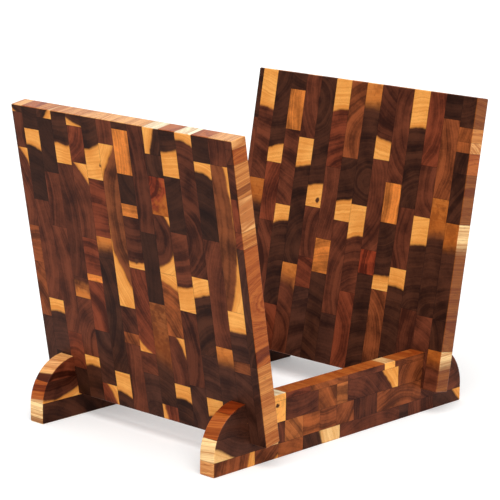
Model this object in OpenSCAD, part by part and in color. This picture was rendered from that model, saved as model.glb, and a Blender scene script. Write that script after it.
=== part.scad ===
// Record storage stand, knock-down, in end-grain wood.
// Two straight runners stand on the floor, side by side. Two tall panels lean
// outwards at their ends and hold a row of records, which stand on the runners.
// Panel and runner cross in halved joints: a slot cut down from the runner's
// top and a notch cut up from the panel's lower edge slip into each other, so
// each panel lifts straight out along its own slope and nothing is screwed.
// Every board is glued up from strips of equal width, and every strip from
// short blocks that show their end grain on the board's two faces.
//
// +X runs along the runners, +Y goes back, +Z is up, and the origin lies on
// the floor under the middle of the stand.

/* [Runners] */
// Length of each runner
runner_length = 408; // [360:1:460]
// Height of each runner
runner_height = 70; // [62:1:90]
// Thickness of each runner
runner_thickness = 21; // [16:0.5:28]
// Distance across the outer faces of the two runners
runners_across = 284; // [200:1:300]
// Radius that rounds off the upper corner at each end of a runner
foot_radius = 50; // [25:1:58]
// Length of a runner beyond the outer lower edge of each panel
foot_length = 54; // [50:1:70]

/* [Panels] */
// Width of each panel, from front to back
panel_width = 330; // [310:1:360]
// Height of each panel, measured up its slope
panel_height = 333; // [260:1:380]
// Thickness of each panel
panel_thickness = 21; // [16:0.5:28]
// Outward lean of each panel, in degrees
panel_lean = 10; // [4:0.5:14]
// Height of a panel's lower edge above the floor
panel_lift = 25; // [12:0.5:32]

/* [Halved joints] */
// Height of the notch in a panel's lower edge
notch_height = 24; // [12:0.5:30]
// Play between panel and runner on each side of a joint
joint_play = 0.3; // [0.2:0.05:0.6]

/* [Glue-up] */
// Width of one strip of blocks
strip_width = 23.3; // [20:0.1:30]
// A strip isn't left thinner than this at a board's edge
thinnest_strip = 4; // [2:0.5:7]
// Width left of the left panel's first strip, at its back edge
left_first_strip = 17; // [8:0.5:22]
// Width left of the right panel's first strip, at its back edge
right_first_strip = 8; // [8:0.5:22]
// Height left of the near runner's lowest course
near_first_course = 16; // [10:0.1:22]
// Height left of the far runner's lowest course
far_first_course = 23.4; // [10:0.1:24]

/* [Hidden] */
$fn = 96;
cut = 1; // how far a cutting tool passes a face

// Distance across the outer faces of the two panels at their lower edges
panels_across = runner_length - 2 * foot_length;

// Number of strips in a board. The first and the last are cut down, and the
// last takes up what would be too thin for a strip of its own.
function strip_count(total, first) =
    1 + ceil((total - first - thinnest_strip) / strip_width);

// Where strip number i starts, from 0 at the board's edge
function strip_start(total, first, i) =
    i == 0 ? 0 : i == strip_count(total, first) ? total : first + (i - 1) * strip_width;

// Where a board was cut out of its glue-up, as the width of its first strip
function first_strip(side) = side == "left" ? left_first_strip : right_first_strip;
function first_course(side) = side == "near" ? near_first_course : far_first_course;

function panel_strips(side) = strip_count(panel_width, first_strip(side));
function runner_courses(side) = strip_count(runner_height, first_course(side));

function two_digits(n) = n < 10 ? str("0", n) : str(n);
function strip_name(side, i) = str(side, "_panel_strip_", two_digits(i + 1));
function course_name(side, i) = str(side, "_runner_course_", i + 1);

PANEL_SIDES = ["left", "right"];
RUNNER_SIDES = ["near", "far"];

// Tones of the wood
dark = "#3a2622";
brown = "#5c3a2c";
red = "#6e3326";
gold = "#a4652f";
sap = "#dda561";

// Blocks of each strip of the left panel, from the back strip to the front one.
// A block is [length, tone], and the blocks run from the top edge down.
LEFT_BLOCKS = [
    [[8, dark], [40, red], [90, brown], [43, red], [64, brown], [88, dark]],
    [[25, dark], [18, sap], [63, dark], [116, brown], [15, sap], [96, dark]],
    [[10, dark], [61, dark], [62, brown], [124, brown], [43, red], [33, dark]],
    [[36, dark], [22, sap], [142, red], [12, sap], [69, red], [10, sap], [42, dark]],
    [[13, sap], [41, red], [85, brown], [42, red], [8, sap], [58, red], [63, dark], [23, sap]],
    [[30, dark], [39, sap], [65, red], [14, sap], [143, dark], [24, sap], [18, dark]],
    [[27, red], [103, brown], [80, sap], [30, brown], [13, gold], [80, brown]],
    [[8, dark], [49, gold], [33, dark], [14, gold], [52, dark], [6, sap], [96, red], [25, brown], [50, dark]],
    [[118, brown], [79, dark], [68, gold], [50, dark], [18, red]],
    [[29, sap], [24, red], [42, gold], [65, brown], [71, gold], [55, brown], [25, sap], [22, dark]],
    [[22, dark], [28, sap], [61, dark], [64, brown], [23, sap], [85, brown], [50, dark]],
    [[10, sap], [146, brown], [22, sap], [65, brown], [49, dark], [21, sap], [20, dark]],
    [[28, dark], [13, sap], [70, dark], [118, brown], [16, sap], [88, dark]],
    [[28, red], [157, gold], [24, sap], [31, brown], [13, gold], [80, dark]],
    [[61, brown], [53, red], [219, dark]]
];

// The same for the right panel
RIGHT_BLOCKS = [
    [[60, dark], [110, brown], [18, sap], [145, dark]],
    [[44, sap], [88, brown], [26, gold], [95, dark], [80, brown]],
    [[96, dark], [14, sap], [70, red], [153, brown]],
    [[20, dark], [48, gold], [90, brown], [20, sap], [100, dark], [55, red]],
    [[75, brown], [30, sap], [120, dark], [16, gold], [92, brown]],
    [[130, dark], [24, sap], [60, brown], [36, red], [83, dark]],
    [[34, sap], [70, red], [85, brown], [40, gold], [104, dark]],
    [[90, brown], [52, dark], [22, sap], [110, brown], [59, dark]],
    [[24, gold], [118, dark], [36, sap], [66, brown], [89, red]],
    [[66, dark], [20, sap], [105, brown], [28, red], [114, dark]],
    [[110, brown], [46, gold], [60, dark], [18, sap], [99, brown]],
    [[40, sap], [95, dark], [70, brown], [24, sap], [104, dark]],
    [[84, red], [58, brown], [30, sap], [76, dark], [85, brown]],
    [[28, dark], [90, brown], [42, gold], [92, dark], [81, brown]],
    [[35, dark], [28, gold], [80, dark], [27, gold], [117, dark], [14, gold], [32, brown]]
];

function panel_blocks(side) = side == "left" ? LEFT_BLOCKS : RIGHT_BLOCKS;

// Blocks of each course of the near runner, from the lowest course up.
// The blocks run from the left end to the right one.
NEAR_BLOCKS = [
    [[51, brown], [10, sap], [75, red], [30, dark], [30, sap], [102, red], [60, brown], [50, dark]],
    [[33, sap], [64, dark], [10, brown], [56, gold], [56, brown], [39, dark], [77, brown], [73, dark]],
    [[94, dark], [14, sap], [52, dark], [30, brown], [18, gold], [70, dark], [16, sap], [44, red], [70, dark]],
    [[94, dark], [14, sap], [39, brown], [61, red], [62, dark], [18, sap], [50, red], [70, dark]]
];

// The same for the far runner
FAR_BLOCKS = [
    [[156, dark], [20, sap], [48, red], [70, brown], [114, dark]],
    [[70, brown], [96, red], [26, gold], [80, dark], [54, brown], [82, dark]],
    [[96, red], [12, sap], [44, dark], [26, sap], [82, brown], [46, gold], [102, dark]]
];

function runner_blocks(side) = side == "near" ? NEAR_BLOCKS : FAR_BLOCKS;

// How far along its row block k starts
function block_start(blocks, k) = k == 0 ? 0 : blocks[k - 1][0] + block_start(blocks, k - 1);

// A row of blocks laid along +X from 0 to the given length. The last block
// runs to the end of the row, and blocks that start past the end are left off.
module block_row(blocks, length, depth, height) {
    last = len(blocks) - 1;
    for (k = [0 : last]) {
        start = block_start(blocks, k);
        end = k == last ? length : min(length, start + blocks[k][0]);
        if (start < length)
            color(blocks[k][1])
                translate([start, 0, 0])
                    cube([end - start, depth, height]);
    }
}

// Places its children in the frame of the left panel: +X goes through the
// panel from its outer face, +Y to the back, +Z up the slope, and the origin
// is the middle of the outer lower edge. The right panel is its mirror image.
module panel_frame(side) {
    mirror([side == "right" ? 1 : 0, 0, 0])
        translate([-panels_across / 2, 0, panel_lift])
            rotate([0, -panel_lean, 0])
                children();
}

// Places its children at a runner's front face, in the middle of its length
module runner_frame(side) {
    front = side == "near" ? -runners_across / 2 : runners_across / 2 - runner_thickness;
    translate([0, front, 0])
        children();
}

// The notches that a panel has in its lower edge, in the panel's frame
module notches() {
    for (side = RUNNER_SIDES)
        runner_frame(side)
            translate([-cut, -joint_play, -cut])
                cube([panel_thickness + 2 * cut, runner_thickness + 2 * joint_play, notch_height + cut]);
}

// The slots that a runner has in its top, in the runner's frame. A slot's
// floor carries the roof of the panel's notch.
module slots() {
    for (side = PANEL_SIDES)
        panel_frame(side)
            translate([-joint_play, -cut, notch_height])
                cube([panel_thickness + 2 * joint_play, runner_thickness + 2 * cut, runner_height]);
}

// One strip of a panel: blocks stacked from the top edge to the lower one
module panel_strip(side, i) {
    from = strip_start(panel_width, first_strip(side), i);
    to = strip_start(panel_width, first_strip(side), i + 1);
    blocks = panel_blocks(side)[i % len(panel_blocks(side))];
    panel_frame(side)
        difference() {
            translate([0, panel_width / 2 - from, panel_height])
                rotate([0, 90, -90])
                    block_row(blocks, panel_height, panel_thickness, to - from);
            notches();
        }
}

// Side view of a runner: straight on the floor, with its upper corners round
module runner_outline() {
    straight = runner_length / 2 - foot_radius;
    translate([-straight, 0])
        square([2 * straight, runner_height]);
    for (end = [0, 1])
        mirror([end, 0])
            translate([straight, 0]) {
                square([foot_radius, runner_height - foot_radius]);
                translate([0, runner_height - foot_radius])
                    intersection() {
                        circle(foot_radius);
                        square(foot_radius);
                    }
            }
}

// One course of a runner: blocks laid end to end, cut to the runner's outline
module runner_course(side, i) {
    from = strip_start(runner_height, first_course(side), i);
    to = strip_start(runner_height, first_course(side), i + 1);
    blocks = runner_blocks(side)[i % len(runner_blocks(side))];
    runner_frame(side)
        difference() {
            intersection() {
                translate([-runner_length / 2, 0, from])
                    block_row(blocks, runner_length, runner_thickness, to - from);
                translate([0, runner_thickness, 0])
                    rotate([90, 0, 0])
                        linear_extrude(runner_thickness)
                            runner_outline();
            }
            slots();
        }
}

for (side = RUNNER_SIDES)
    for (i = [0 : runner_courses(side) - 1])
        runner_course(side, i);

for (side = PANEL_SIDES)
    for (i = [0 : panel_strips(side) - 1])
        panel_strip(side, i);
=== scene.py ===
# %% [markdown]
# # A record storage stand in end-grain wood
#
# The stand is four boards: two runners on the floor and two panels that lean
# outwards. Each board is glued up from strips, and each strip from short
# blocks stood on end, so the board's two faces show end grain: rings, rays and
# pores. The edges of a board show the same blocks along their fibres.
#
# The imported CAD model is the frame. Its strips already have the right shape
# and place, but they are sharp-edged and know nothing of the blocks inside
# them. So each strip is built again here as a grid of cells, one row of cells
# to a block, and every cell carries a description of its own wood.

# %% Load the frame
import math
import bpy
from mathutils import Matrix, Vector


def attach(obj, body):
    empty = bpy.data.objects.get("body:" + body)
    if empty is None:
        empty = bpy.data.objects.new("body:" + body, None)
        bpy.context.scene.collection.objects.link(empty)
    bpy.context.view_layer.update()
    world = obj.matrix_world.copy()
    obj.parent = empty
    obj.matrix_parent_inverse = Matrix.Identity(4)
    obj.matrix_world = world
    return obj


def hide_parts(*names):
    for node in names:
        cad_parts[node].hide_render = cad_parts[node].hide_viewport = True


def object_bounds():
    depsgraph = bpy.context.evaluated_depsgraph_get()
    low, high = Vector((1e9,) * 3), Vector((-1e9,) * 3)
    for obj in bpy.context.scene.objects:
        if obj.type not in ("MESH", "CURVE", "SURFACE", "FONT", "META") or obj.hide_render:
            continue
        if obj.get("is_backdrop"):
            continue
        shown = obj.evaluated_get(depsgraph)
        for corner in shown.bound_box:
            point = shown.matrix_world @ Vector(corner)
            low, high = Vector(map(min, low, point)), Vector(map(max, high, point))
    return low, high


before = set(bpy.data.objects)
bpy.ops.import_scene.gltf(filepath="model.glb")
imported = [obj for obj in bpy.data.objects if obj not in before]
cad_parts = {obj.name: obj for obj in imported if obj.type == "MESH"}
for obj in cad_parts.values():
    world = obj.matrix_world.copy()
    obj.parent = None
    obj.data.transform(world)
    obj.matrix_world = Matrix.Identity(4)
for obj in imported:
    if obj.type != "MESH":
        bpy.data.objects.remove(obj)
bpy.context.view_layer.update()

from types import SimpleNamespace

import bpy
import numpy as np
from mathutils import Euler, Matrix, Vector

MM = 0.001

# %% [markdown]
# ## The camera
#
# A product photograph of furniture this small is taken from some way off with
# a long lens, so that upright edges stay nearly parallel. The camera stands
# at the front left, a little above the stand. A camera could be aimed with a
# Track To constraint, but writing its three axes down is just as short, and
# it also takes the slight roll of a hand-levelled tripod.

# %% The camera
CAMERA_AT = Vector((-1.75145, -1.63520, 0.71925))
CAMERA_AIM = Vector((-0.02255, -0.01874, 0.19218))
CAMERA_ROLL = math.radians(0.739)
CAMERA_LENS = 158.65
SENSOR = 36  # mm, the width that the lens is given for
NEAREST, FARTHEST = 0.1, 50  # m, what the camera sees


def aim_camera(place, target, roll, lens):
    """Axes of a camera: -Z to the target, X level, then both turned by the roll."""
    forward = (target - place).normalized()
    level = forward.cross(Vector((0, 0, 1))).normalized()
    upright = level.cross(forward)
    right = level * math.cos(roll) + upright * math.sin(roll)
    up = upright * math.cos(roll) - level * math.sin(roll)
    data = bpy.data.cameras.new("camera")
    data.lens, data.sensor_width = lens, SENSOR
    data.clip_start, data.clip_end = NEAREST, FARTHEST
    camera = bpy.data.objects.new("camera", data)
    axes = Matrix((right, up, -forward)).transposed().to_4x4()
    camera.matrix_world = Matrix.Translation(place) @ axes
    bpy.context.scene.collection.objects.link(camera)
    bpy.context.scene.camera = camera


aim_camera(CAMERA_AT, CAMERA_AIM, CAMERA_ROLL, CAMERA_LENS)
print("camera stands", round((CAMERA_AT - CAMERA_AIM).length, 2), "m off")

# %% [markdown]
# ## Sizes of the boards
#
# These are the stand's own sizes, in millimetres. Each board gets a frame of
# its own: f along the fibres, through the board; v across it; w up it. In that
# frame a panel is a plain rectangle, although it leans in the room, and the
# rings of its blocks are plain circles.

# %% Sizes of the boards
RUNNER = dict(length=408, height=70, thick=21, across=284, round=50, foot=54)
PANEL = dict(width=330, height=333, thick=21, lean=math.radians(10), lift=25)
NOTCH, PLAY = 24, 0.3  # height of a panel's notch, and play on each side of a joint
STRIP, THINNEST = 23.3, 4  # width of a strip, and the least that a board's last one may be


class BoardFrame:
    """A board's own frame: point = origin + f * F + v * V + w * W, in metres."""

    def __init__(self, turn, origin):
        self.turn = turn.to_matrix()
        self.origin = Vector(origin) * MM

    def to_room(self, points):
        """Points in millimetres in the board's frame, as metres in the room."""
        return points @ np.array(self.turn.transposed()) * MM + np.array(self.origin)


lower_edge = RUNNER["length"] / 2 - RUNNER["foot"]
FRAMES = {
    "left": BoardFrame(Euler((0, -PANEL["lean"], 0)), (-lower_edge, 0, PANEL["lift"])),
    "right": BoardFrame(Euler((0, PANEL["lean"], 0)), (lower_edge, 0, PANEL["lift"])),
    "runner": BoardFrame(Euler((0, 0, math.radians(-90))), (0, 0, 0)),
}
for name, board in FRAMES.items():
    print(name, "board: fibres run along", [round(x, 3) for x in board.turn.col[0]])

# %% [markdown]
# ## Tones of the wood
#
# Every block is a slice of a small trunk: dark heartwood in the middle,
# reddish or brown further out, and pale sapwood under the bark. A tone is the
# colour of a block's heartwood, or of the paler wood outside it. Light sinks
# into open end grain and comes back from the sides of the fibres, so a board's
# edge is far lighter than its face, and has tones of its own. Two edge tones
# hold painted light: a russet darkened as painted shade and a cream whitened
# as a painted sheen. All are written as display colours, which are easy to
# compare by eye, and turned into the linear light that a shader works in.

# %% Tones of the wood
def light(r, g, b):
    """A display colour, 0 to 255, as linear light: the sRGB curve undone."""
    x = np.array((r, g, b)) / 255
    return np.where(x <= 0.04045, x / 12.92, ((x + 0.055) / 1.055) ** 2.4)


TONES = {
    "black": light(53, 29, 20),
    "dark": light(62, 34, 23),
    "ash": light(68, 39, 29),
    "violet": light(75, 38, 25),
    "brown": light(90, 46, 30),
    "red": light(104, 49, 30),
    "hazel": light(105, 57, 32),
    "chestnut": light(118, 62, 34),
    "amber": light(136, 73, 37),
    "ember": light(121, 49, 27),
    "olive": light(152, 88, 46),
    "gold": light(194, 115, 51),
    "honey": light(222, 142, 70),
    "sap": light(250, 176, 90),
    "ivory": light(252, 206, 140),
}
EDGE_TONES = {
    # the next tone is russet darkened by painted shade, for the near foot's round where the leaning
    # panel overhangs it
    "shaded_russet": light(145, 60, 19),
    "umber": light(137, 75, 28),
    "russet": light(172, 90, 35),
    "tan": light(198, 126, 64),
    "pale": light(226, 163, 100),
    "cream": light(243, 203, 145),
    # the next tone is cream sapwood whitened by a painted sheen, for top edges under the overhead light
    "sheen_cream": light(243, 226, 192),
}
# how strongly a tone's rings stand out, 1 where it isn't listed
FIGURE = {
    "black": 0.7, "ash": 0.8, "violet": 1.2, "red": 1.1, "hazel": 1.2, "chestnut": 1.2,
    "ember": 1.9, "gold": 0.8, "honey": 0.35, "sap": 0.35,
}
PALE = ("gold", "honey", "sap")  # tones with a cream edge, where a block names none
DEEP = ("dark", "black")  # tones with an umber edge, where a block names none
SOFT = ("gold", "honey", "olive")  # outer tones that the heartwood fades into slowly
print(len(TONES), "tones for faces and", len(EDGE_TONES), "for edges")

# %% [markdown]
# ## The blocks of every strip
#
# The pattern of the left panel and of the near runner is the one thing about
# this stand that people will recognise, so it is written out block by block.
# A block is its length, the tone of its heartwood and the place of its pith,
# which is the middle of its rings and may lie far outside the block. Up to
# three numbers may follow. The first is the radius at which the heartwood
# ends, or ALL where it fills the block. The second is the radius of one dark
# ring, as a hard year leaves it, and the third is how dark it is, 1 where
# nothing is said. Words come last: the tone of the wood outside the heartwood,
# sapwood where nothing is said, and the tone of the board's edge, where the
# block reaches it. A panel's blocks run from the top down, and places on it
# are measured from the back edge and up from the lower edge. A runner's run
# from the left end, and places on it are measured from there and from the
# floor.

# %% The blocks of every strip
ALL = 900  # mm, further than any block reaches from its pith
# each strip's first block names the tone of the panel's top edge: partly the wood's own tone, partly a
# painted sheen that makes it lighter where the top catches the overhead light
LEFT = [
    [(8, "dark", 40, 370, 57, "pale"), (40, "violet", 120, 300), (90, "brown", -60, 215, 93.5),
     (43, "chestnut", 8, 20), (64, "chestnut", -60, 60), (88, "ash", 60, 30)],
    [(25, "black", 40, 380, "russet"), (81, "black", 10, 190, 101), (116, "brown", -150, 170),
     (63, "ash", 28, 20, 76), (48, "ash", 0, 0)],
    [(10, "dark", 20, 360, 49, "tan"), (61, "black", 90, 330), (62, "brown", -120, 230),
     (124, "brown", -120, 140), (43, "red", 48, 30), (33, "black", 90, 60)],
    [(58, "dark", 72, 380, 83, "pale"), (130, "violet", -100, 200),
     (24, "violet", 75, 232, 99, "honey"), (69, "brown", 110, 60), (52, "dark", 76, -20, 62)],
    [(13, "dark", 130, 400, 82.5, "pale"), (41, "red", 60, 330), (85, "brown", 40, 215, 81),
     (42, "red", 100, 20), (8, "gold", 92, 58), (58, "red", 60, 90), (63, "ash", 120, 90),
     (23, "red", 60, -15, 51)],
    [(69, "dark", 100, 385, 87, "pale"), (65, "red", 120, 60), (24, "dark", 122, 60, 128, "honey"),
     (133, "dark", 10, 120), (42, "dark", 112, -40, 60)],
    [(27, "brown", -60, 320, "pale"), (183, "hazel", 273, 228, 142.3), (30, "violet", 100, 60),
     (13, "amber", 100, 60), (80, "brown", -60, 60)],
    [(8, "dark", 150, 370, "pale"), (49, "gold", -180, 300), (33, "black", 200, 280),
     (14, "gold", 170, 150), (58, "violet", 168, 250, 73), (96, "red", 250, 180, 131),
     (25, "brown", 150, 10), (50, "ash", 170, 0)],
    [(118, "violet", -120, 260, "pale"), (79, "black", -100, 180),
     (118, "dark", 170, 0, 75, "olive"), (18, "red", 300, 9, 114.5)],
    [(29, "dark", 300, 290, 91, "sheen_cream"), (24, "dark", 260, 300),
     (42, "ember", 186, 284, 44, "gold"), (65, "violet", 193, 214, 36), (71, "amber", 180, 90, 78),
     (55, "brown", 150, 50, 83), (47, "dark", 203, -40, 70)],
    [(50, "dark", 225, 400, 90, "russet"), (61, "black", 210, 330), (87, "brown", 215, 260, 101),
     (85, "violet", 140, 90), (50, "ash", 200, 0)],
    [(156, "violet", 235, 215, 111, "sheen_cream"), (87, "dark", 290, 60, 100), (49, "ash", 250, 10),
     (41, "dark", 262, -40, 60)],
    [(28, "black", 300, 380, "russet"), (83, "black", 262, 200, 96), (118, "brown", 420, 150),
     (74, "ash", 285, -20, 110, "honey"), (30, "dark", 280, -60)],
    [(28, "brown", 130, 320, "pale"), (157, "hazel", 58, 242, 263), (55, "ash", 300, 30, 96),
     (13, "hazel", 300, 20), (80, "ash", 280, 0)],
    [(9, "violet", 300, 330, "pale"), (16, "violet", 300, 330, "russet"),
     (36, "violet", 300, 250, ALL, 40.5, "tan"), (35, "red", 390, 260, "pale"),
     (18, "red", 380, 160, "tan"), (90, "ash", 380, 160, "russet"),
     (39, "dark", 360, 80, ALL, 37.8, "russet"), (90, "ash", 410, -50, "tan")],
]
RIGHT = [
    [(60, "dark", 30, 380), (110, "brown", -60, 220), (163, "dark", 10, 20, 125)],
    [(132, "brown", 0, 180, 109), (121, "dark", 25, 60, 115, "gold"), (80, "brown", 60, -30)],
    [(110, "dark", 20, 330, 93, "tan"), (70, "red", 120, 180), (153, "brown", -20, 90)],
    [(20, "dark", 80, 380), (48, "gold", 200, 290), (90, "brown", 40, 150),
     (120, "dark", 80, 50, 105), (55, "red", 20, -20)],
    [(75, "brown", 160, 320, "pale"), (150, "dark", 110, 130, 98),
     (108, "brown", 60, 20, 75, "honey")],
    [(154, "dark", 90, 300, 97), (60, "brown", 180, 140), (36, "red", 90, 20),
     (83, "ash", 140, -20)],
    [(104, "red", 150, 210, 90), (85, "brown", 20, 200), (40, "gold", 150, 60),
     (104, "dark", 110, -40)],
    [(90, "chestnut", 200, 260, "tan"), (74, "dark", 140, 280, 90), (110, "brown", 260, 90),
     (59, "ash", 150, -50)],
    [(142, "dark", 190, 220, 89, "honey"), (102, "brown", 200, 70, 85), (89, "red", 120, 30)],
    [(86, "violet", 230, 350, 84), (105, "brown", 130, 210), (28, "ember", 260, 120),
     (114, "dark", 220, -30)],
    [(110, "brown", 300, 300, "pale"), (46, "gold", 120, 200), (78, "dark", 215, 190, 75),
     (99, "chestnut", 160, 30)],
    [(135, "dark", 265, 200, 92), (70, "brown", 340, 170), (128, "dark", 240, 10, 96)],
    [(84, "red", 200, 300, "tan"), (58, "brown", 330, 230), (106, "dark", 290, 70, 92),
     (85, "brown", 380, 60)],
    [(28, "black", 300, 390), (90, "chestnut", 180, 260), (134, "dark", 310, 80, 95, "gold"),
     (81, "brown", 260, -30)],
    # this strip's dark tones are partly painted shade, darker where records standing in the stand would
    # shade its inner face, and partly the wood's own tone
    [(35, "dark", 300, 380, "umber"), (16, "amber", 250, 300, "tan"),
     (12, "amber", 250, 260, "pale"), (24, "dark", 380, 240, "russet"),
     (56, "dark", 420, 140, "umber"), (110, "dark", 335, 60, 104, "gold", "umber"),
     (34, "dark", 260, 40, "umber"), (46, "brown", 320, -30, 62, "gold", "umber")],
]
NEAR = [
    [(61, "chestnut", -60, 30, 115, "pale"), (36, "chestnut", 40, 60, 79.3),
     (39, "amber", 100, -80), (60, "dark", 80, -30, 95, "ivory"), (102, "brown", 250, -90),
     (15, "ash", 300, 60), (45, "brown", 380, 20), (50, "ash", 330, -60, 99)],
    [(97, "ash", 60, 110, 97.7, "ivory", "cream"), (10, "brown", 60, 20), (29, "olive", 60, -20),
     (27, "amber", 150, -60), (27, "chestnut", 180, 90), (29, "chestnut", 150, 60),
     (17, "violet", 120, 30), (22, "violet", 320, 20), (77, "chestnut", 300, -60),
     (73, "brown", 380, 80)],
    [(90, "ash", 20, 0, ALL, 50.2, 0.6, "russet"), (18, "sap", 95, 60), (52, "brown", 130, 110),
     (30, "amber", 140, 20), (18, "olive", 190, -20), (86, "brown", 205, 0, 90),
     (44, "chestnut", 360, 20), (70, "brown", 350, 0)],
    # the first block's edge tone is painted shade where the left panel overhangs the foot's round; the
    # second block's is a painted sheen, whiter than its sapwood, on the runner's top
    [(90, "ash", 20, 0, ALL, 72, 0.5, "shaded_russet"), (18, "sap", 95, 60, "sheen_cream"), (39, "red", 130, 0),
     (61, "amber", 220, 120), (62, "brown", 240, 110), (18, "sap", 280, 20),
     (50, "chestnut", 320, 130), (70, "dark", 350, 0)],
]
FAR = [
    [(90, "dark", 0, -60, ALL, 63.5, "cream"), (86, "dark", 110, -30, 62), (48, "red", 200, 60),
     (70, "brown", 240, -40), (114, "dark", 380, -30, 92)],
    [(70, "violet", 20, 110.5, 84.6, 71.5, "russet"), (96, "red", 130, -20), (26, "gold", 170, 90),
     (80, "dark", 220, 110), (54, "brown", 280, 20), (82, "dark", 370, 0)],
    # this course's first edge tone is partly a painted highlight: the far foot's round made paler where
    # it faces up to the light
    [(96, "red", 30, 10, ALL, 43, 2.5, "pale"), (82, "dark", 130, 0, 62), (82, "brown", 240, 110),
     (46, "amber", 270, 10), (102, "dark", 350, 10)],
]
# the middle of each knot, measured as the piths are, and its size
KNOTS = {
    "left": [(170, 179, 3.5), (132, 283, 2.4)],
    "right": [(120, 190, 2.5)],
    "near": [(95.5, 57, 2.6)],
    "far": [],
}

ROWS = {"left": LEFT, "right": RIGHT, "near": NEAR, "far": FAR}
FIRST = {"left": 17, "right": 8, "near": 16, "far": 23.4}  # width of a board's first strip
for side, rows in ROWS.items():
    total = RUNNER["length"] if side in ("near", "far") else PANEL["height"]
    assert all(sum(b[0] for b in row) == total for row in rows), side
    print(side, "board:", sum(map(len, rows)), "blocks in", len(rows), "strips")

# %% [markdown]
# ## A slab on a grid
#
# A strip could be a cube with a bevel, but then its notch, its slanted slot
# and its rounded end would need boolean cuts, and the blocks would have no
# faces of their own. Instead a strip is a grid of points in the board's v and
# w, with some cells left out. Two copies of the grid, one at each face of the
# board, and a wall round every cell that borders on nothing make a closed
# solid. The points may lie anywhere, so the same function makes a straight
# strip and a foot with a round end.

# %% A slab on a grid
OPEN, IN_SLOT, GLUED = range(3)  # kinds of face: bare, a wall in a slot, against a strip


def slab(name, board, depths, grid, keep, glued, wood):
    """Grid of cells pulled along the fibres into a closed solid.

    grid[i, j] is the (v, w) of a grid point, and each of them becomes the two
    points (depths[0], v, w) and (depths[1], v, w) of the board's frame. A kept
    cell gives a face at either depth, turned outwards, and a wall to each side
    where its neighbour isn't kept. glued names the outer sides of the grid
    that lie on another strip. wood maps a name to one vector for each cell.
    """
    rows, cols = keep.shape
    point = np.arange((rows + 1) * (cols + 1)).reshape(rows + 1, cols + 1)
    high = point.size
    a, b, c, d = point[:-1, :-1], point[:-1, 1:], point[1:, 1:], point[1:, :-1]
    cell = np.arange(rows * cols).reshape(rows, cols)
    framed = np.pad(keep, 1)
    edge = np.pad(np.zeros_like(keep), 1, constant_values=True)
    walls = {
        "bottom": (a, b, framed[:-2, 1:-1], edge[:-2, 1:-1]),
        "right": (b, c, framed[1:-1, 2:], edge[1:-1, 2:]),
        "top": (c, d, framed[2:, 1:-1], edge[2:, 1:-1]),
        "left": (d, a, framed[1:-1, :-2], edge[1:-1, :-2]),
    }
    faces = [np.stack((d, c, b, a), -1)[keep], np.stack((a, b, c, d), -1)[keep] + high]
    cells = [cell[keep]] * 2
    kind = [np.full(keep.sum(), OPEN)] * 2
    for side, (p, q, neighbour, outside) in walls.items():
        bare = keep & ~neighbour
        faces.append(np.stack((p, q, q + high, p + high), -1)[bare])
        cells.append(cell[bare])
        kind.append(np.where(outside[bare], GLUED if side in glued else OPEN, IN_SLOT))
    faces, cells, kind = map(np.concatenate, (faces, cells, kind))

    flat = grid.reshape(-1, 2)
    layers = [np.column_stack((np.full(len(flat), f), flat)) for f in depths]
    used, faces = np.unique(faces, return_inverse=True)
    mesh = bpy.data.meshes.new(name)
    points = board.to_room(np.concatenate(layers))[used]
    mesh.from_pydata(points.tolist(), [], faces.reshape(-1, 4).tolist())
    for key, values in wood.items():
        mesh.attributes.new(key, "FLOAT_VECTOR", "FACE").data.foreach_set(
            "vector", np.asarray(values, np.float32)[cells].ravel())
    break_arrises(mesh, kind)
    piece = bpy.data.objects.new(name, mesh)
    bpy.context.scene.collection.objects.link(piece)
    return piece


# %% [markdown]
# ## Broken edges
#
# The maker runs sandpaper along every arris, so that it is soft to the hand
# and catches a thin line of light. A Bevel modifier does that, but it must
# leave out the edges between two glued strips, which nobody can sand. Each
# edge's weight tells it: 1 on the outline of a board, a little in a slot, and
# none where the faces are level, the corner is hollow or the wall is glued.

# %% Broken edges
ARRIS, ARRIS_STEPS = 1.5 * MM, 3
ARRIS_SHARE = np.array((1, 0.3, 0))  # how much of it an edge gets, by the kind of its faces
CORNER = math.cos(math.radians(40))


def break_arrises(mesh, kind):
    """Weights of the edges, from the two faces that meet in each.

    A corner is where the cosine between the faces' directions is under CORNER,
    and it stands out where the second face's middle lies below the first one.
    kind tells whether a face is OPEN, IN_SLOT or GLUED.
    """
    count = len(mesh.polygons)
    edge_of_loop = np.empty(count * 4, np.int32)
    mesh.loops.foreach_get("edge_index", edge_of_loop)
    first, second = (np.argsort(edge_of_loop, kind="stable") // 4).reshape(-1, 2).T
    normal, middle = np.empty(count * 3), np.empty(count * 3)
    mesh.polygons.foreach_get("normal", normal)
    mesh.polygons.foreach_get("center", middle)
    normal, middle = normal.reshape(-1, 3), middle.reshape(-1, 3)
    corner = (normal[first] * normal[second]).sum(1) < CORNER
    stands_out = ((middle[second] - middle[first]) * normal[first]).sum(1) < 0
    worst = np.maximum(kind[first], kind[second])
    weight = np.where(corner & stands_out, ARRIS_SHARE[worst], 0)
    weights = mesh.attributes.new("bevel_weight_edge", "FLOAT", "EDGE")
    weights.data.foreach_set("value", weight.astype(np.float32))
    sharp = mesh.attributes.new("sharp_edge", "BOOLEAN", "EDGE")
    sharp.data.foreach_set("value", corner & (weight == 0))


def soften(piece):
    """The Bevel modifier that reads those weights."""
    bevel = piece.modifiers.new("broken_edges", "BEVEL")
    bevel.limit_method, bevel.width, bevel.segments = "WEIGHT", ARRIS, ARRIS_STEPS
    bevel.use_clamp_overlap, bevel.harden_normals = False, True


print("arrises are broken by", round(ARRIS / MM, 2), "mm")

# %% [markdown]
# ## The wood of a block
#
# Every block came from another stick, so each has its own tones and its own
# rings. A material for each block would do it, but that is almost two hundred
# materials with one formula. Instead each face of a strip carries the numbers
# of its block as attributes, and the material of its board reads them.

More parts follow.
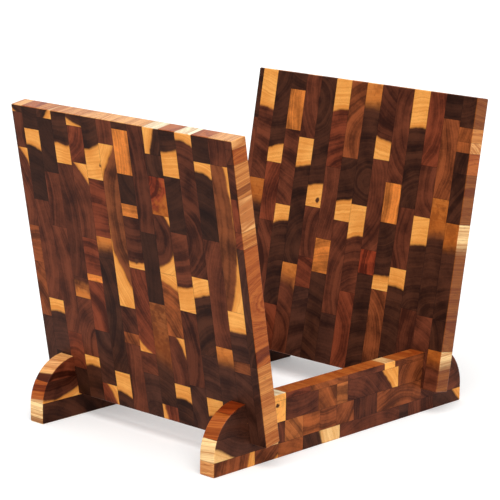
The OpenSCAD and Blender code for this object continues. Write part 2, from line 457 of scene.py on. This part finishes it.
# %% The wood of a block
NO_RING, FULL_DEPTH, NO_KNOT = 0, 1, (0, 0, 0)
# f of the face on which a block's rings are where its row says: the outer face
# of the left panel and the near runner, the inner one of the other two
SHOWN = {
    "left": 0, "right": -PANEL["thick"],
    "near": RUNNER["across"] / 2, "far": RUNNER["thick"] - RUNNER["across"] / 2,
}


def describe(block, side, across, along, knots):
    """Vectors that tell the material what a block is.

    across and along are the block's own limits in v and w. Every length goes
    over in metres, and a block with no radius is heartwood throughout.
    """
    _, tone, v, w, *rest = block
    numbers = [x for x in rest if not isinstance(x, str)]
    radius, dark_ring, ring_depth = numbers + [ALL, NO_RING, FULL_DEPTH][len(numbers):]
    outer = next((word for word in rest if word in TONES), "sap")
    usual = "cream" if tone in PALE else "umber" if tone in DEEP else "russet"
    edge = next((word for word in rest if word in EDGE_TONES), usual)
    inside = [k for k in knots if across[0] <= k[0] <= across[1] and along[0] <= k[1] <= along[1]]
    knot = inside[0] if inside else NO_KNOT
    return {
        "heart": TONES[tone],
        "outer": TONES[outer],
        "edge": EDGE_TONES[edge],
        "pith": np.array((v, w, radius)) * MM,
        "figure": (FIGURE.get(tone, 1), outer in SOFT, SHOWN[side] * MM),
        "ring": (dark_ring * MM, ring_depth, 0),
        "block_low": np.array((across[0], along[0], 0)) * MM,
        "block_high": np.array((across[1], along[1], 0)) * MM,
        "knot": np.array(knot) * MM,
    }


def spread(descriptions, index):
    """One vector for each cell, from the block that the cell belongs to."""
    return {k: np.array([d[k] for d in descriptions])[index.ravel()] for k in descriptions[0]}


print("rings are written down at f =", SHOWN)

# %% [markdown]
# ## The strips of a panel
#
# Seen square on, a panel's strip is a rectangle with its blocks stacked from
# the top down. Two strips cross each notch, so their grids get an extra column
# at the notch's side and an extra row at its roof, and the cells in between
# are left out.

# %% The strips of both panels
# a block with no neighbour on a side is said to reach this far past it, so
# that no glue shows there
BEYOND = 20


def edges_of(total, first):
    """Where a board's strips begin and end: 0, first, every STRIP from there, total."""
    inner = np.arange(first, total - THINNEST, STRIP)
    return np.concatenate(([0], inner, [total]))


def panel_strip(side, number, low, high):
    """A strip from low to high, as distances from the panel's back edge."""
    width, height, thick = PANEL["width"], PANEL["height"], PANEL["thick"]
    blocks = ROWS[side][number - 1]
    tops = height - np.concatenate(([0], np.cumsum([b[0] for b in blocks])))
    outer = RUNNER["across"] / 2 + PLAY
    inner = outer - RUNNER["thick"] - 2 * PLAY
    notches = [(-outer, -inner), (inner, outer)]
    limits = (width / 2 - high, width / 2 - low)
    walls = [v for notch in notches for v in notch if limits[0] < v < limits[1]]
    columns = np.unique([*limits, *walls])
    levels = np.unique([*tops, NOTCH])
    grid = np.stack(np.meshgrid(columns, levels), -1)
    middle_v, middle_w = (columns[1:] + columns[:-1]) / 2, (levels[1:] + levels[:-1]) / 2
    cut = np.any([(middle_v > n[0]) & (middle_v < n[1]) for n in notches], 0)
    keep = ~(cut[None, :] & (middle_w[:, None] < NOTCH))
    index = np.searchsorted(-tops, -middle_w) - 1
    knots = [(width / 2 - s, t, r) for s, t, r in KNOTS[side]]
    sides = (limits[0] - BEYOND * (high == width), limits[1] + BEYOND * (low == 0))
    ends = tops + BEYOND * (tops == height) - BEYOND * (tops == 0)
    wood = [describe((length, tone, width / 2 - s, *rest), side, sides, (end, start), knots)
            for (length, tone, s, *rest), start, end in zip(blocks, ends, ends[1:])]
    glued = ({"right"} if low > 0 else set()) | ({"left"} if high < width else set())
    depths = (0, thick) if side == "left" else (-thick, 0)
    return slab(f"{side}_strip_{number:02d}", FRAMES[side], depths, grid, keep, glued,
                spread(wood, np.repeat(index[:, None], len(columns) - 1, 1)))


strips = {"left": [], "right": []}
for side in strips:
    edges = edges_of(PANEL["width"], FIRST[side])
    for number, (low, high) in enumerate(zip(edges, edges[1:]), 1):
        piece = panel_strip(side, number, low, high)
        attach(piece, f"{side}_panel")
        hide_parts(f"{side}_panel_strip_{number:02d}")
        soften(piece)
        strips[side].append(piece)
    print(side, "panel:", len(strips[side]), "strips")

# %% [markdown]
# ## The outline of a runner
#
# A runner stands on its long edge. Both of its upper corners are rounded off,
# and two slots are cut down into it at the panels' slope. It could be drawn
# once and cut apart, but each of its lines is easy to write down, so these
# functions give a point of a line for any height, and a whole course can
# follow the lines at once.

# %% The outline of a runner
SPRING = RUNNER["height"] - RUNNER["round"]  # height at which the round begins
TILT = math.tan(PANEL["lean"])


def round_point(angle):
    """(x, z) on the round of the left foot; 0 is its spring and 90 its top."""
    reach = RUNNER["round"]
    return np.stack((reach - reach * np.cos(angle), SPRING + reach * np.sin(angle)), -1)


def end_point(z):
    """(x, z) of the left end at height z: upright to the spring, then round."""
    rise = np.clip(z - SPRING, 0, RUNNER["round"])
    return np.stack((round_point(np.arcsin(rise / RUNNER["round"]))[..., 0], z), -1)


def slot_wall(inner, z):
    """x of a wall of the left slot: the panel's face at that height, and play."""
    face = RUNNER["foot"] - (z - PANEL["lift"]) * TILT
    return face + (PANEL["thick"] + PLAY if inner else -PLAY) / math.cos(PANEL["lean"])


def slot_floor(inner):
    """z of a slot's floor at a wall: up the panel's slope by the notch height."""
    depth = PANEL["thick"] + PLAY if inner else -PLAY
    return PANEL["lift"] + NOTCH * math.cos(PANEL["lean"]) + depth * math.sin(PANEL["lean"])


print("a slot's floor lies at", [round(slot_floor(inner), 1) for inner in (False, True)], "mm")

# %% [markdown]
# ## The courses below the slots
#
# A runner's strips run level, one above another, so they are its courses. The
# lowest ones only have to follow the round end. Their grids have one column
# to a block and rows that are closer together on the round, where the end
# would look faceted with fewer.

# %% The courses below the slots
ROUND_STEP = 2.5  # about the height of a row on the round


def levels_between(z0, z1):
    """Heights of a course's rows: finer on the round than below its spring."""
    start = min(max(z0, SPRING), z1)
    steps = max(2, round((z1 - start) / ROUND_STEP))
    return np.unique(np.round([z0, *np.linspace(start, z1, steps)], 6))


def plain_course(z0, z1, cuts):
    """Grid of a course below the slots: round ends, upright cuts between."""
    z = levels_between(z0, z1)
    left = end_point(z)
    middle = [np.column_stack((np.full_like(z, x), z)) for x in cuts]
    right = np.column_stack((RUNNER["length"] - left[:, 0], z))
    grid = np.stack([left, *middle, right], 1)
    keep = np.ones((len(z) - 1, len(cuts) + 1), bool)
    return grid, keep, np.concatenate(([0], cuts, [RUNNER["length"]]))


print("from the floor to 40 mm the points stand at", levels_between(0, 40))

# %% [markdown]
# ## The courses that the slots cross
#
# The topmost course runs out in a thin wedge where the round meets the slot. A
# grid that simply followed the height would be pinched to nothing there. So
# the foot is a patch stretched between its four sides, and the corner of the
# patch lies part of the way up the round.

# %% The courses that the slots cross
FOOT_STEPS = 8  # columns of points in a foot
PATCH_CORNER = math.radians(74)  # where on the round a topmost foot's side ends and its top begins
PLAIN_ROWS, ROWS_UNDER, ROWS_OVER = 4, 3, 5  # rows of points with no floor, under one, over it


def patch(left, right, bottom, top):
    """Coons patch: the mean of both pairs of sides, less the corners' own mean.

    left and right are points up the patch, bottom and top points along it.
    """
    u = np.linspace(0, 1, len(left))[:, None, None]
    t = np.linspace(0, 1, len(bottom))[None, :, None]
    sides = (1 - t) * left[:, None] + t * right[:, None]
    sides = sides + (1 - u) * bottom[None] + u * top[None]
    corners = (1 - u) * ((1 - t) * bottom[0] + t * bottom[-1]) + u * ((1 - t) * top[0] + t * top[-1])
    return sides - corners


def slotted_course(z0, z1, cuts):
    """Grid of a course that the slots cross.

    Its rows stand at the same share of the height everywhere, and where the
    slot's floor lies in the course, one row follows it: at the floor's outer
    height in the feet and at its inner height in the middle.
    """
    radius, topmost = RUNNER["round"], z1 == RUNNER["height"]
    floor_out, floor_in = slot_floor(False), slot_floor(True)
    has_floor = z0 < floor_out
    wall_top = z1
    if topmost:
        wall_top = SPRING + math.sqrt(radius ** 2 - (radius - slot_wall(False, z1)) ** 2)

    def rows(floor, top):
        if not has_floor:
            return np.linspace(z0, top, PLAIN_ROWS)
        under, over = np.linspace(z0, floor, ROWS_UNDER), np.linspace(floor, top, ROWS_OVER)
        return np.concatenate((under[:-1], over))

    z_out, z_in = rows(floor_out, wall_top), rows(floor_in, z1)
    outer = np.column_stack((slot_wall(False, z_out), z_out))
    if topmost:
        start, last = math.asin((z0 - SPRING) / radius), math.acos((radius - outer[-1, 0]) / radius)
        left = round_point(np.linspace(start, PATCH_CORNER, len(z_out)))
        top = round_point(np.linspace(PATCH_CORNER, last, FOOT_STEPS))
    else:
        left = end_point(z_out)
        top = np.linspace(left[-1], outer[-1], FOOT_STEPS)
    foot = patch(left, outer, np.linspace(left[0], outer[0], FOOT_STEPS), top)
    inner = np.column_stack((slot_wall(True, z_in), z_in))
    middle = [np.column_stack((np.full_like(z_in, x), z_in)) for x in cuts]
    half = np.concatenate((foot, inner[:, None]), 1)
    mirrored = half[:, ::-1].copy()
    mirrored[..., 0] = RUNNER["length"] - mirrored[..., 0]
    grid = np.concatenate((half, *[m[:, None] for m in middle], mirrored), 1)
    keep = np.ones((grid.shape[0] - 1, grid.shape[1] - 1), bool)
    open_from = ROWS_UNDER - 1 if has_floor else 0
    keep[open_from:, [FOOT_STEPS - 1, -FOOT_STEPS]] = False
    return grid, keep, grid[0, :, 0]


print("a foot above the slot's floor is", FOOT_STEPS, "points wide and", ROWS_OVER, "high")

# %% [markdown]
# ## The courses of both runners
#
# A course is built in its own millimetres, from the runner's left end and the
# floor, and moved to the middle at the very end. A block that ends in a slot,
# or close beside one, gets no edge of its own there: the next block takes over
# on the slot's other side.

# %% The courses of both runners
CLEAR = 2  # a block's end is drawn only where it is further than this from a slot


def runner_course(side, number, z0, z1):
    """A course of a runner from height z0 to z1."""
    blocks = ROWS[side][number - 1]
    ends = np.cumsum([b[0] for b in blocks]).astype(float)
    starts = np.concatenate(([0], ends[:-1]))
    slotted = z1 > slot_floor(True)
    margin = slot_wall(True, slot_floor(True)) + CLEAR if slotted else 0
    cuts = [x for x in ends[:-1] if margin < x < RUNNER["length"] - margin]
    grid, keep, lines = (slotted_course if slotted else plain_course)(z0, z1, cuts)
    index = np.searchsorted(ends, (lines[1:] + lines[:-1]) / 2)
    sides = (z0 - BEYOND * (z0 == 0), z1 + BEYOND * (z1 == RUNNER["height"]))
    starts[0], ends[-1] = -BEYOND, RUNNER["length"] + BEYOND
    wood = [describe(block, side, (start, end), sides, KNOTS[side])
            for block, start, end in zip(blocks, starts, ends)]
    shift = np.array((RUNNER["length"] / 2, 0, 0))
    for description in wood:
        for key in ("pith", "block_low", "block_high", "knot"):
            description[key] = description[key] - shift * MM
    glued = ({"bottom"} if z0 > 0 else set()) | ({"top"} if z1 < RUNNER["height"] else set())
    outside, inside = RUNNER["across"] / 2, RUNNER["across"] / 2 - RUNNER["thick"]
    depths = (inside, outside) if side == "near" else (-outside, -inside)
    return slab(f"{side}_course_{number}", FRAMES["runner"], depths, grid - shift[:2], keep, glued,
                spread(wood, np.repeat(index[None], keep.shape[0], 0)))


courses = {"near": [], "far": []}
for side in courses:
    edges = edges_of(RUNNER["height"], FIRST[side])
    for number, (z0, z1) in enumerate(zip(edges, edges[1:]), 1):
        piece = runner_course(side, number, z0, z1)
        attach(piece, "runners")
        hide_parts(f"{side}_runner_course_{number}")
        soften(piece)
        courses[side].append(piece)
    print(side, "runner:", len(courses[side]), "courses, split at", edges[1:-1])

# %% [markdown]
# ## Shader maths as sums
#
# A shader is a formula, and a formula reads better as Python than as fifty
# nodes. A Field wraps one socket, and adding or multiplying two of them puts
# in the Math node that does it. Everything else comes from one method, node,
# which sets a node's own settings first and then its sockets.

# %% Shader maths as sums
class Field:
    """A number, colour or vector that varies over a surface."""

    def __init__(self, finish, socket):
        self.finish, self.socket = finish, socket

    def math(self, operation, *inputs):
        return self.finish.node("ShaderNodeMath", {"operation": operation}, dict(enumerate(inputs)))

    def __add__(self, other):
        return self.math("ADD", self, other)

    def __radd__(self, other):
        return self.math("ADD", other, self)

    def __sub__(self, other):
        return self.math("SUBTRACT", self, other)

    def __rsub__(self, other):
        return self.math("SUBTRACT", other, self)

    def __mul__(self, other):
        return self.math("MULTIPLY", self, other)

    def __rmul__(self, other):
        return self.math("MULTIPLY", other, self)

    def __abs__(self):
        return self.math("ABSOLUTE", self)

    def least(self, other):
        return self.math("MINIMUM", self, other)


# a Mix node keeps a set of sockets for each kind of data, and these are a colour's
MIX_SHARE, MIX_A, MIX_B, MIX_RESULT = 0, 6, 7, 2


class Finish:
    """A material, or a world, and the nodes that make it."""

    def __init__(self, name, owner=None):
        self.material = owner or bpy.data.materials.new(name)
        self.material.use_nodes = True
        self.tree = self.material.node_tree
        self.tree.nodes.clear()

    def node(self, kind, settings=None, inputs=None, out=0):
        """A node with its settings made first, then its sockets filled or linked."""
        made = self.tree.nodes.new(kind)
        for key, value in (settings or {}).items():
            setattr(made, key, value)
        for key, value in (inputs or {}).items():
            if isinstance(value, Field):
                self.tree.links.new(value.socket, made.inputs[key])
            else:
                made.inputs[key].default_value = value
        return Field(self, made.outputs[out]) if made.outputs else None

    def vector(self, operation, *inputs, out="Vector"):
        settings = {"operation": operation}
        return self.node("ShaderNodeVectorMath", settings, dict(enumerate(inputs)), out)

    def scaled(self, a, factor):
        return self.node("ShaderNodeVectorMath", {"operation": "SCALE"}, {0: a, "Scale": factor})

    def centred(self, colour):
        """A noise's colour as a vector about zero: less 0.5 in each part."""
        return self.vector("SUBTRACT", colour, (0.5, 0.5, 0.5))

    def mix(self, share, a, b, blend="MIX"):
        """Colour a, and share of colour b."""
        settings = {"data_type": "RGBA", "blend_type": blend}
        return self.node("ShaderNodeMix", settings, {MIX_SHARE: share, MIX_A: a, MIX_B: b}, MIX_RESULT)

    def tinted(self, colour, tint):
        """A colour times a tint, channel by channel."""
        return self.mix(1.0, colour, tint, "MULTIPLY")

    def step(self, value, start, end, low=0.0, high=1.0):
        """low up to start, high from end on, and a smooth curve between them."""
        settings = {"data_type": "FLOAT", "interpolation_type": "SMOOTHSTEP"}
        inputs = {0: value, 1: start, 2: end, 3: low, 4: high}
        return self.node("ShaderNodeMapRange", settings, inputs)

    def attribute(self, name):
        return self.node("ShaderNodeAttribute", {"attribute_name": name}, out="Vector")

    def parts(self, vector):
        split = self.node("ShaderNodeSeparateXYZ", inputs={0: vector})
        return [Field(self, s) for s in split.socket.node.outputs]

    def join(self, x, y, z):
        return self.node("ShaderNodeCombineXYZ", inputs={0: x, 1: y, 2: z})

    def noise(self, vector, scale, detail, roughness=0.5, out=0):
        inputs = {"Vector": vector, "Scale": scale, "Detail": detail, "Roughness": roughness}
        return self.node("ShaderNodeTexNoise", {"noise_dimensions": "3D"}, inputs, out)

    def noise_along(self, value, detail, roughness=0.5):
        """Noise of a single number, for bands and rings."""
        inputs = {"W": value, "Scale": 1.0, "Detail": detail, "Roughness": roughness}
        return self.node("ShaderNodeTexNoise", {"noise_dimensions": "1D"}, inputs)


print("shader helpers ready")

# %% [markdown]
# ## Where a point lies in its block
#
# Wood has one structure in three dimensions, and a saw only lays it open. A
# picture of end grain on the face and another of long grain on the edge would
# never meet at the arris. So the material is a solid one: it starts from the
# place of a point in its block, and a face and an edge are two cuts through
# the same thing. A stick is never sawn quite square to its fibres, so they
# lean a little, and the lines on a board's edge run slightly aslant.

# %% Where a point lies in its block
FIBRE_LEAN = 0.35  # as a slope: fibres lean by up to half of this either way


def block_frame(f, board):
    """What a block's attributes say, and the place of a point in its wood.

    plain is the point p in the board's frame: back * p - back * origin. place
    is plain moved in v and w by the lean times the depth below the shown face,
    so that on that face the rings are where the block's row says.
    """
    b = SimpleNamespace()
    b.heart, b.outer, b.edge = (f.attribute(k) for k in ("heart", "outer", "edge"))
    pith = f.attribute("pith")
    b.pith_v, b.pith_w, b.radius = f.parts(pith)
    b.contrast, b.soft, shown = f.parts(f.attribute("figure"))
    b.dark_ring, b.ring_depth, _ = f.parts(f.attribute("ring"))
    chance = f.node("ShaderNodeTexWhiteNoise", {"noise_dimensions": "3D"},
                    {"Vector": f.scaled(pith, 1 / MM)}, "Color")
    b.seed, _, _ = f.parts(chance)

    back = board.turn.transposed()
    plain = f.node("ShaderNodeMapping", {"vector_type": "POINT"}, {
        "Vector": f.node("ShaderNodeTexCoord", out="Object"),
        "Rotation": back.to_euler(), "Location": -(back @ board.origin)})
    depth_in, b.plain_v, b.plain_w = f.parts(plain)
    lean = f.vector("MULTIPLY", f.centred(chance), (0.0, FIBRE_LEAN, FIBRE_LEAN))
    b.place = f.vector("ADD", plain, f.scaled(lean, depth_in - shown))
    return b


print("fibres lean by up to", round(math.degrees(math.atan(FIBRE_LEAN / 2)), 1), "degrees in v and in w")

# %% [markdown]
# ## Rings, rays and pores
#
# Rings are bands of the distance from the pith. Perfect circles would look
# turned on a lathe, so the point is pushed about first, slowly and then in a
# fast ripple. Rays are bands of the angle round the pith. Pores are noise
# drawn out along the fibres, so that they are dots on a face and streaks on an
# edge without being told which is which.

# %% Rings, rays and pores
# cycles of noise to a metre, through the block and out from its pith
SWAY, RIPPLE, CLOUD, MOTTLE, STREAK, PORES = 22.0, 130.0, 38.0, 150.0, 300.0, 1500.0
ZONES, BANDS, FINE = 75.0, 330.0, 1500.0
RAYS = 90.0  # cycles to a radian round the pith
SWAY_BY, RIPPLE_BY = 0.012, 0.0022  # metres by which a ring is pushed aside
DRAWN_OUT = 0.12  # noise along the fibres, as a share of its cycles across them
STREAK_DRAWN_OUT, PORES_DRAWN_OUT = 0.25, 0.05


def grain(f, b):
    """Adds a block's rings, rays, cloud and pores to what is known of it.

    reach is the distance from the pith, the length of (v, w) less the pith's
    own, once the point has been pushed. pore_mark is 1 in a pore. The others
    are noises about zero.
    """
    seeds = f.join(b.seed * 13.0, b.seed * 7.0, b.seed * 29.0)
    along_fibres = f.vector("MULTIPLY", b.place, (DRAWN_OUT, 1.0, 1.0))
    space = f.node("ShaderNodeMapping", {"vector_type": "POINT"},
                   {"Vector": along_fibres, "Rotation": (0.6, 0.0, 0.0), "Location": seeds})
    sway = f.scaled(f.centred(f.noise(space, SWAY, 1.0, out="Color")), SWAY_BY)
    ripple = f.scaled(f.centred(f.noise(space, RIPPLE, 2.0, out="Color")), RIPPLE_BY)
    _, b.v, b.w = f.parts(f.vector("ADD", b.place, f.vector("ADD", sway, ripple)))
    from_v, from_w = b.v - b.pith_v, b.w - b.pith_w
    b.reach = f.vector("LENGTH", f.join(0.0, from_v, from_w), out="Value")
    turn = from_w.math("ARCTAN2", from_w, from_v)

    b.zones = f.noise_along(b.reach * ZONES + b.seed * 91.0, 1.0) - 0.5
    b.bands = f.noise_along(b.reach * BANDS + b.seed * 47.0, 2.0, 0.6) - 0.5
    b.fine = f.noise_along(b.reach * FINE + b.seed * 19.0, 1.0) - 0.5
    b.rays = f.noise_along(turn * RAYS + b.seed * 31.0, 1.0) - 0.5
    b.cloud = f.noise(space, CLOUD, 3.0, 0.55) - 0.5
    b.mottle = f.noise(space, MOTTLE, 2.0) - 0.5
    drawn = f.vector("MULTIPLY", space, (STREAK_DRAWN_OUT, 1.0, 1.0))
    b.streak = f.noise(drawn, STREAK, 2.0, 0.6) - 0.5
    drawn = f.vector("MULTIPLY", b.place, (PORES_DRAWN_OUT, 1.0, 1.0))
    b.pore_mark = f.step(f.noise(drawn, PORES, 1.0), 0.60, 0.72)


print("bands are about", round(1 / BANDS / MM, 1), "mm wide and fine lines", round(1 / FINE / MM, 1))

# %% [markdown]
# ## Heartwood and sapwood
#
# A trunk is dark in the middle and pale under the bark. The heartwood's own
# colour swings between a darkest and a lightest ring, and ends where the
# distance from the pith passes the block's radius. The sapwood outside it has
# faint rings, and is warmer where it borders on the heartwood. In some blocks
# the border is soft, with smoky patches beyond it.

# %% Heartwood and sapwood
# what a colour is multiplied by, in linear light
TINTS = {
    "deep heartwood": (0.42, 0.38, 0.40, 1),
    "bright heartwood": (1.75, 1.62, 1.45, 1),
    "ringed sapwood": (0.80, 0.64, 0.48, 1),
    "smoky sapwood": (0.50, 0.42, 0.40, 1),
    "warm sapwood": (0.72, 0.52, 0.34, 1),
    "dark ring": (0.44, 0.31, 0.24, 1),
    "deep edge": (0.66, 0.44, 0.30, 1),
    "bright edge": (1.16, 1.20, 1.18, 1),
}
# metres: half the width of the heartwood's border, and what a soft one adds
BORDER, SOFT_BORDER = 0.0018, 0.008


def heart_and_sap(f, b):
    """The colour of end grain: heartwood up to the radius, sapwood past it."""
    depth = b.zones * 1.4 + b.bands * 0.8 + b.fine * 0.2 + b.rays * 0.12 + b.cloud * 1.9
    b.shade = f.step(0.5 + depth * b.contrast * 0.75 + b.streak * 0.3, 0.0, 1.0)
    deep = f.tinted(b.heart, TINTS["deep heartwood"])
    bright = f.tinted(b.heart, TINTS["bright heartwood"])
    heartwood = f.mix(b.shade, deep, bright)

    past = b.reach - b.radius + b.cloud * 0.004 + b.soft * (b.contrast - 0.9) * b.mottle * 0.04
    width = BORDER + b.soft * SOFT_BORDER
    b.is_sap = f.step(past, 0.0 - width, width)
    faint = f.step(b.bands * 0.9 + b.cloud * 0.9 + 0.5, 0.2, 0.85)
    smoky = b.soft * f.step(b.cloud + b.mottle * 1.2, 0.08, -0.20)
    warm = f.step(past, width, width * 4.0, 1.0, 0.0) * 0.55
    sapwood = f.mix(faint, f.tinted(b.outer, TINTS["ringed sapwood"]), b.outer)
    sapwood = f.mix(smoky, sapwood, f.tinted(b.outer, TINTS["smoky sapwood"]))
    sapwood = f.mix(warm, sapwood, f.tinted(b.outer, TINTS["warm sapwood"]))
    return f.mix(b.is_sap, heartwood, sapwood)


print("tints:", ", ".join(TINTS))

# %% [markdown]
# ## Dark rings, knots, edges and glue
#
# A hard year leaves one ring far darker than the rest. A knot is where a
# branch was: a dark heart with a ring round it. Along the fibres light comes
# back from inside the wood, so an edge has its own paler tone, and the rings
# cross it as soft lines. Where two blocks meet, a thin glue line shows.

# %% Dark rings, knots, edges and glue
# metres: a dark ring fades out between these distances from its middle, and a
# glue line between these from a block's limits
RING_OUT, RING_IN = 0.0038, 0.0024
GLUE_IN, GLUE_OUT = 0.00012, 0.0004
KNOT_TONE = (0.09, 0.03, 0.012, 1)


def ring_and_knot(f, b, face):
    """End grain with its dark ring and its knot, if the block has them.

    The ring lies where reach is near the ring's radius, and the knot within
    about its own size of its middle.
    """
    at_ring = f.step(abs(b.reach - b.dark_ring), RING_OUT, RING_IN)
    b.ring_mark = at_ring * f.step(b.dark_ring, 0.001, 0.002)
    b.ring_tint = f.node("ShaderNodeGamma", inputs={"Color": TINTS["dark ring"], "Gamma": b.ring_depth})
    face = f.mix(b.ring_mark * 0.6, face, f.tinted(face, b.ring_tint))
    knot_v, knot_w, size = f.parts(f.attribute("knot"))
    away = f.vector("LENGTH", f.join(0.0, b.v - knot_v, b.w - knot_w), out="Value")
    knot_mark = f.step(away + b.mottle * size * 3.0, size * 1.3, size * 0.5)
    return f.mix(knot_mark * f.step(size, 0.0005, 0.0006), face, KNOT_TONE)


def along_the_fibres(f, b):
    """The colour of an edge: its own tone, or cream where the block is sapwood."""
    lines = f.step(b.zones * 1.7 + b.bands * 1.5 + b.fine * 1.2 + b.streak * 1.1, -0.65, 0.55)
    tone = f.mix(b.is_sap, b.edge, (*EDGE_TONES["cream"], 1), "LIGHTEN")
    edge = f.mix(lines, f.tinted(tone, TINTS["deep edge"]), f.tinted(tone, TINTS["bright edge"]))
    return f.mix(b.ring_mark, edge, f.tinted(edge, b.ring_tint))


def glue_line(f, b):
    """1 at the block's limits: the least distance to any of the four, stepped."""
    low_v, low_w, _ = f.parts(f.attribute("block_low"))
    high_v, high_w, _ = f.parts(f.attribute("block_high"))
    v, w = b.plain_v, b.plain_w
    nearest = (v - low_v).least(high_v - v).least((w - low_w).least(high_w - w))
    return f.step(nearest, GLUE_IN, GLUE_OUT, 1.0, 0.0)


print("a dark ring is", round(2 * RING_OUT / MM, 1), "mm wide, where it has all but faded")

# %% [markdown]
# ## The oiled finish
#
# Light sinks into open end grain and comes back from the sides of the fibres,
# so a face is far darker than an edge of the same block. The surface's own
# direction tells which it is. Oil leaves the edges with a soft sheen and soaks
# into the faces, so only the edges get a coat. Pores and glue lines are darker
# and lie a little deeper.

# %% The oiled finish
def oiled_wood(name, board):
    """Oiled wood whose blocks lie in the given board's frame.

    The share of end grain follows the cosine between the surface's normal and
    the fibres.
    """
    f = Finish(name)
    b = block_frame(f, board)
    grain(f, b)
    face = ring_and_knot(f, b, heart_and_sap(f, b))
    normal = f.node("ShaderNodeTexCoord", out="Normal")
    cosine = f.vector("DOT_PRODUCT", normal, tuple(board.turn.col[0]), out="Value")
    end_grain = f.step(abs(cosine), 0.45, 0.92)
    glue = glue_line(f, b)
    dark = 1.0 - b.pore_mark * 0.30 - glue * 0.45
    colour = f.tinted(f.mix(end_grain, along_the_fibres(f, b), face), f.join(dark, dark, dark))
    relief = b.shade * 0.35 - b.pore_mark * 0.6 - glue * 0.8
    bump = f.node("ShaderNodeBump", {}, {"Strength": 0.35, "Distance": 0.0003, "Height": relief})
    shader = f.node("ShaderNodeBsdfPrincipled", {}, {
        "Base Color": colour,
        "Roughness": 0.46 + b.pore_mark * 0.2 + b.cloud * 0.12 - end_grain * 0.04,
        "Normal": bump, "Specular IOR Level": 0.06,
        "Coat Weight": (1.0 - end_grain) * 0.75, "Coat Roughness": 0.2, "Coat IOR": 1.2})
    f.node("ShaderNodeOutputMaterial", inputs={"Surface": shader})
    return f.material


FINISHES = {key: oiled_wood(f"{key}_wood", board) for key, board in FRAMES.items()}
for side, pieces in [*strips.items(), *courses.items()]:
    for piece in pieces:
        piece.data.materials.append(FINISHES.get(side, FINISHES["runner"]))
        piece.data.polygons.foreach_set("use_smooth", np.ones(len(piece.data.polygons), bool))
print("nodes in a wood finish:", len(FINISHES["left"].node_tree.nodes))

# %% [markdown]
# ## Floor and light
#
# The stand is shown on white: a floor that runs out of sight and no horizon.
# Pale paint alone would only do that under so much light that the sapwood
# burnt out. So the floor and the world show white to the camera, through the
# Is Camera Ray switch, and light the wood at a plain level. The floor keeps
# the stand's soft shadow.

# %% Floor and light
FLOOR_REACH = 20.0
FLOOR_PAINT, FLOOR_GLOW = (0.86, 0.86, 0.85, 1), 0.20
ROOM_LEVEL, BACKDROP_LEVEL = 0.40, 1.10
SUN_FROM, SUN_SPREAD, SUN_STRENGTH = (-0.45, -0.42, 0.79), 60, 2.8
TO_BACKDROP = tuple((CAMERA_AIM - CAMERA_AT).to_2d().to_3d().normalized())


def studio_floor(reach, paint, glow):
    """A large plane under the feet."""
    corners = [(-reach, -reach, 0), (reach, -reach, 0), (reach, reach, 0), (-reach, reach, 0)]
    mesh = bpy.data.meshes.new("floor")
    mesh.from_pydata(corners, [], [(0, 1, 2, 3)])
    floor = bpy.data.objects.new("floor", mesh)
    bpy.context.scene.collection.objects.link(floor)
    f = Finish("floor_white")
    seen = f.node("ShaderNodeLightPath", out="Is Camera Ray")
    matt = f.node("ShaderNodeBsdfDiffuse", inputs={"Color": paint})
    shine = f.node("ShaderNodeEmission", inputs={"Color": (1, 1, 1, 1), "Strength": seen * glow})
    both = f.node("ShaderNodeAddShader", inputs={0: matt, 1: shine})
    f.node("ShaderNodeOutputMaterial", inputs={"Surface": both})
    mesh.materials.append(f.material)
    floor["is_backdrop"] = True


def world_light(room, backdrop):
    """A dim room behind the camera, a bright backdrop, and plain white to the camera.

    The level follows the cosine between a direction and that of the backdrop.
    """
    world = bpy.data.worlds.new("studio")
    bpy.context.scene.world = world
    f = Finish("studio", world)
    direction = f.node("ShaderNodeTexCoord", out="Generated")
    towards = f.vector("DOT_PRODUCT", direction, TO_BACKDROP, out="Value")
    level = f.step(towards, -0.4, 0.8, room, backdrop)
    seen = f.node("ShaderNodeLightPath", out="Is Camera Ray")
    sky = f.node("ShaderNodeBackground", inputs={"Strength": level * (1.0 - seen) + seen})
    f.node("ShaderNodeOutputWorld", inputs={"Surface": sky})


def soft_sun(name, direction, spread, strength):
    """Light from one side of the sky, as even over the whole floor as a sky is."""
    lamp = bpy.data.lights.new(name, "SUN")
    lamp.angle, lamp.energy = math.radians(spread), strength
    sun = bpy.data.objects.new(name, lamp)
    sun.rotation_euler = Vector(direction).to_track_quat("Z", "Y").to_euler()
    bpy.context.scene.collection.objects.link(sun)


studio_floor(FLOOR_REACH, FLOOR_PAINT, FLOOR_GLOW)
world_light(ROOM_LEVEL, BACKDROP_LEVEL)
soft_sun("key", SUN_FROM, SUN_SPREAD, SUN_STRENGTH)
bpy.context.scene.view_settings.view_transform = "Standard"
print("studio set")

# %% [markdown]
# ## Measure and finish
#
# The stand must come out at its real size. The box of what is visible is
# printed, and the broken arrises may only take a little away from it.

# %% Measure and finish
low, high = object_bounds()
print("size in mm:", [round(x * 1000, 1) for x in high - low])
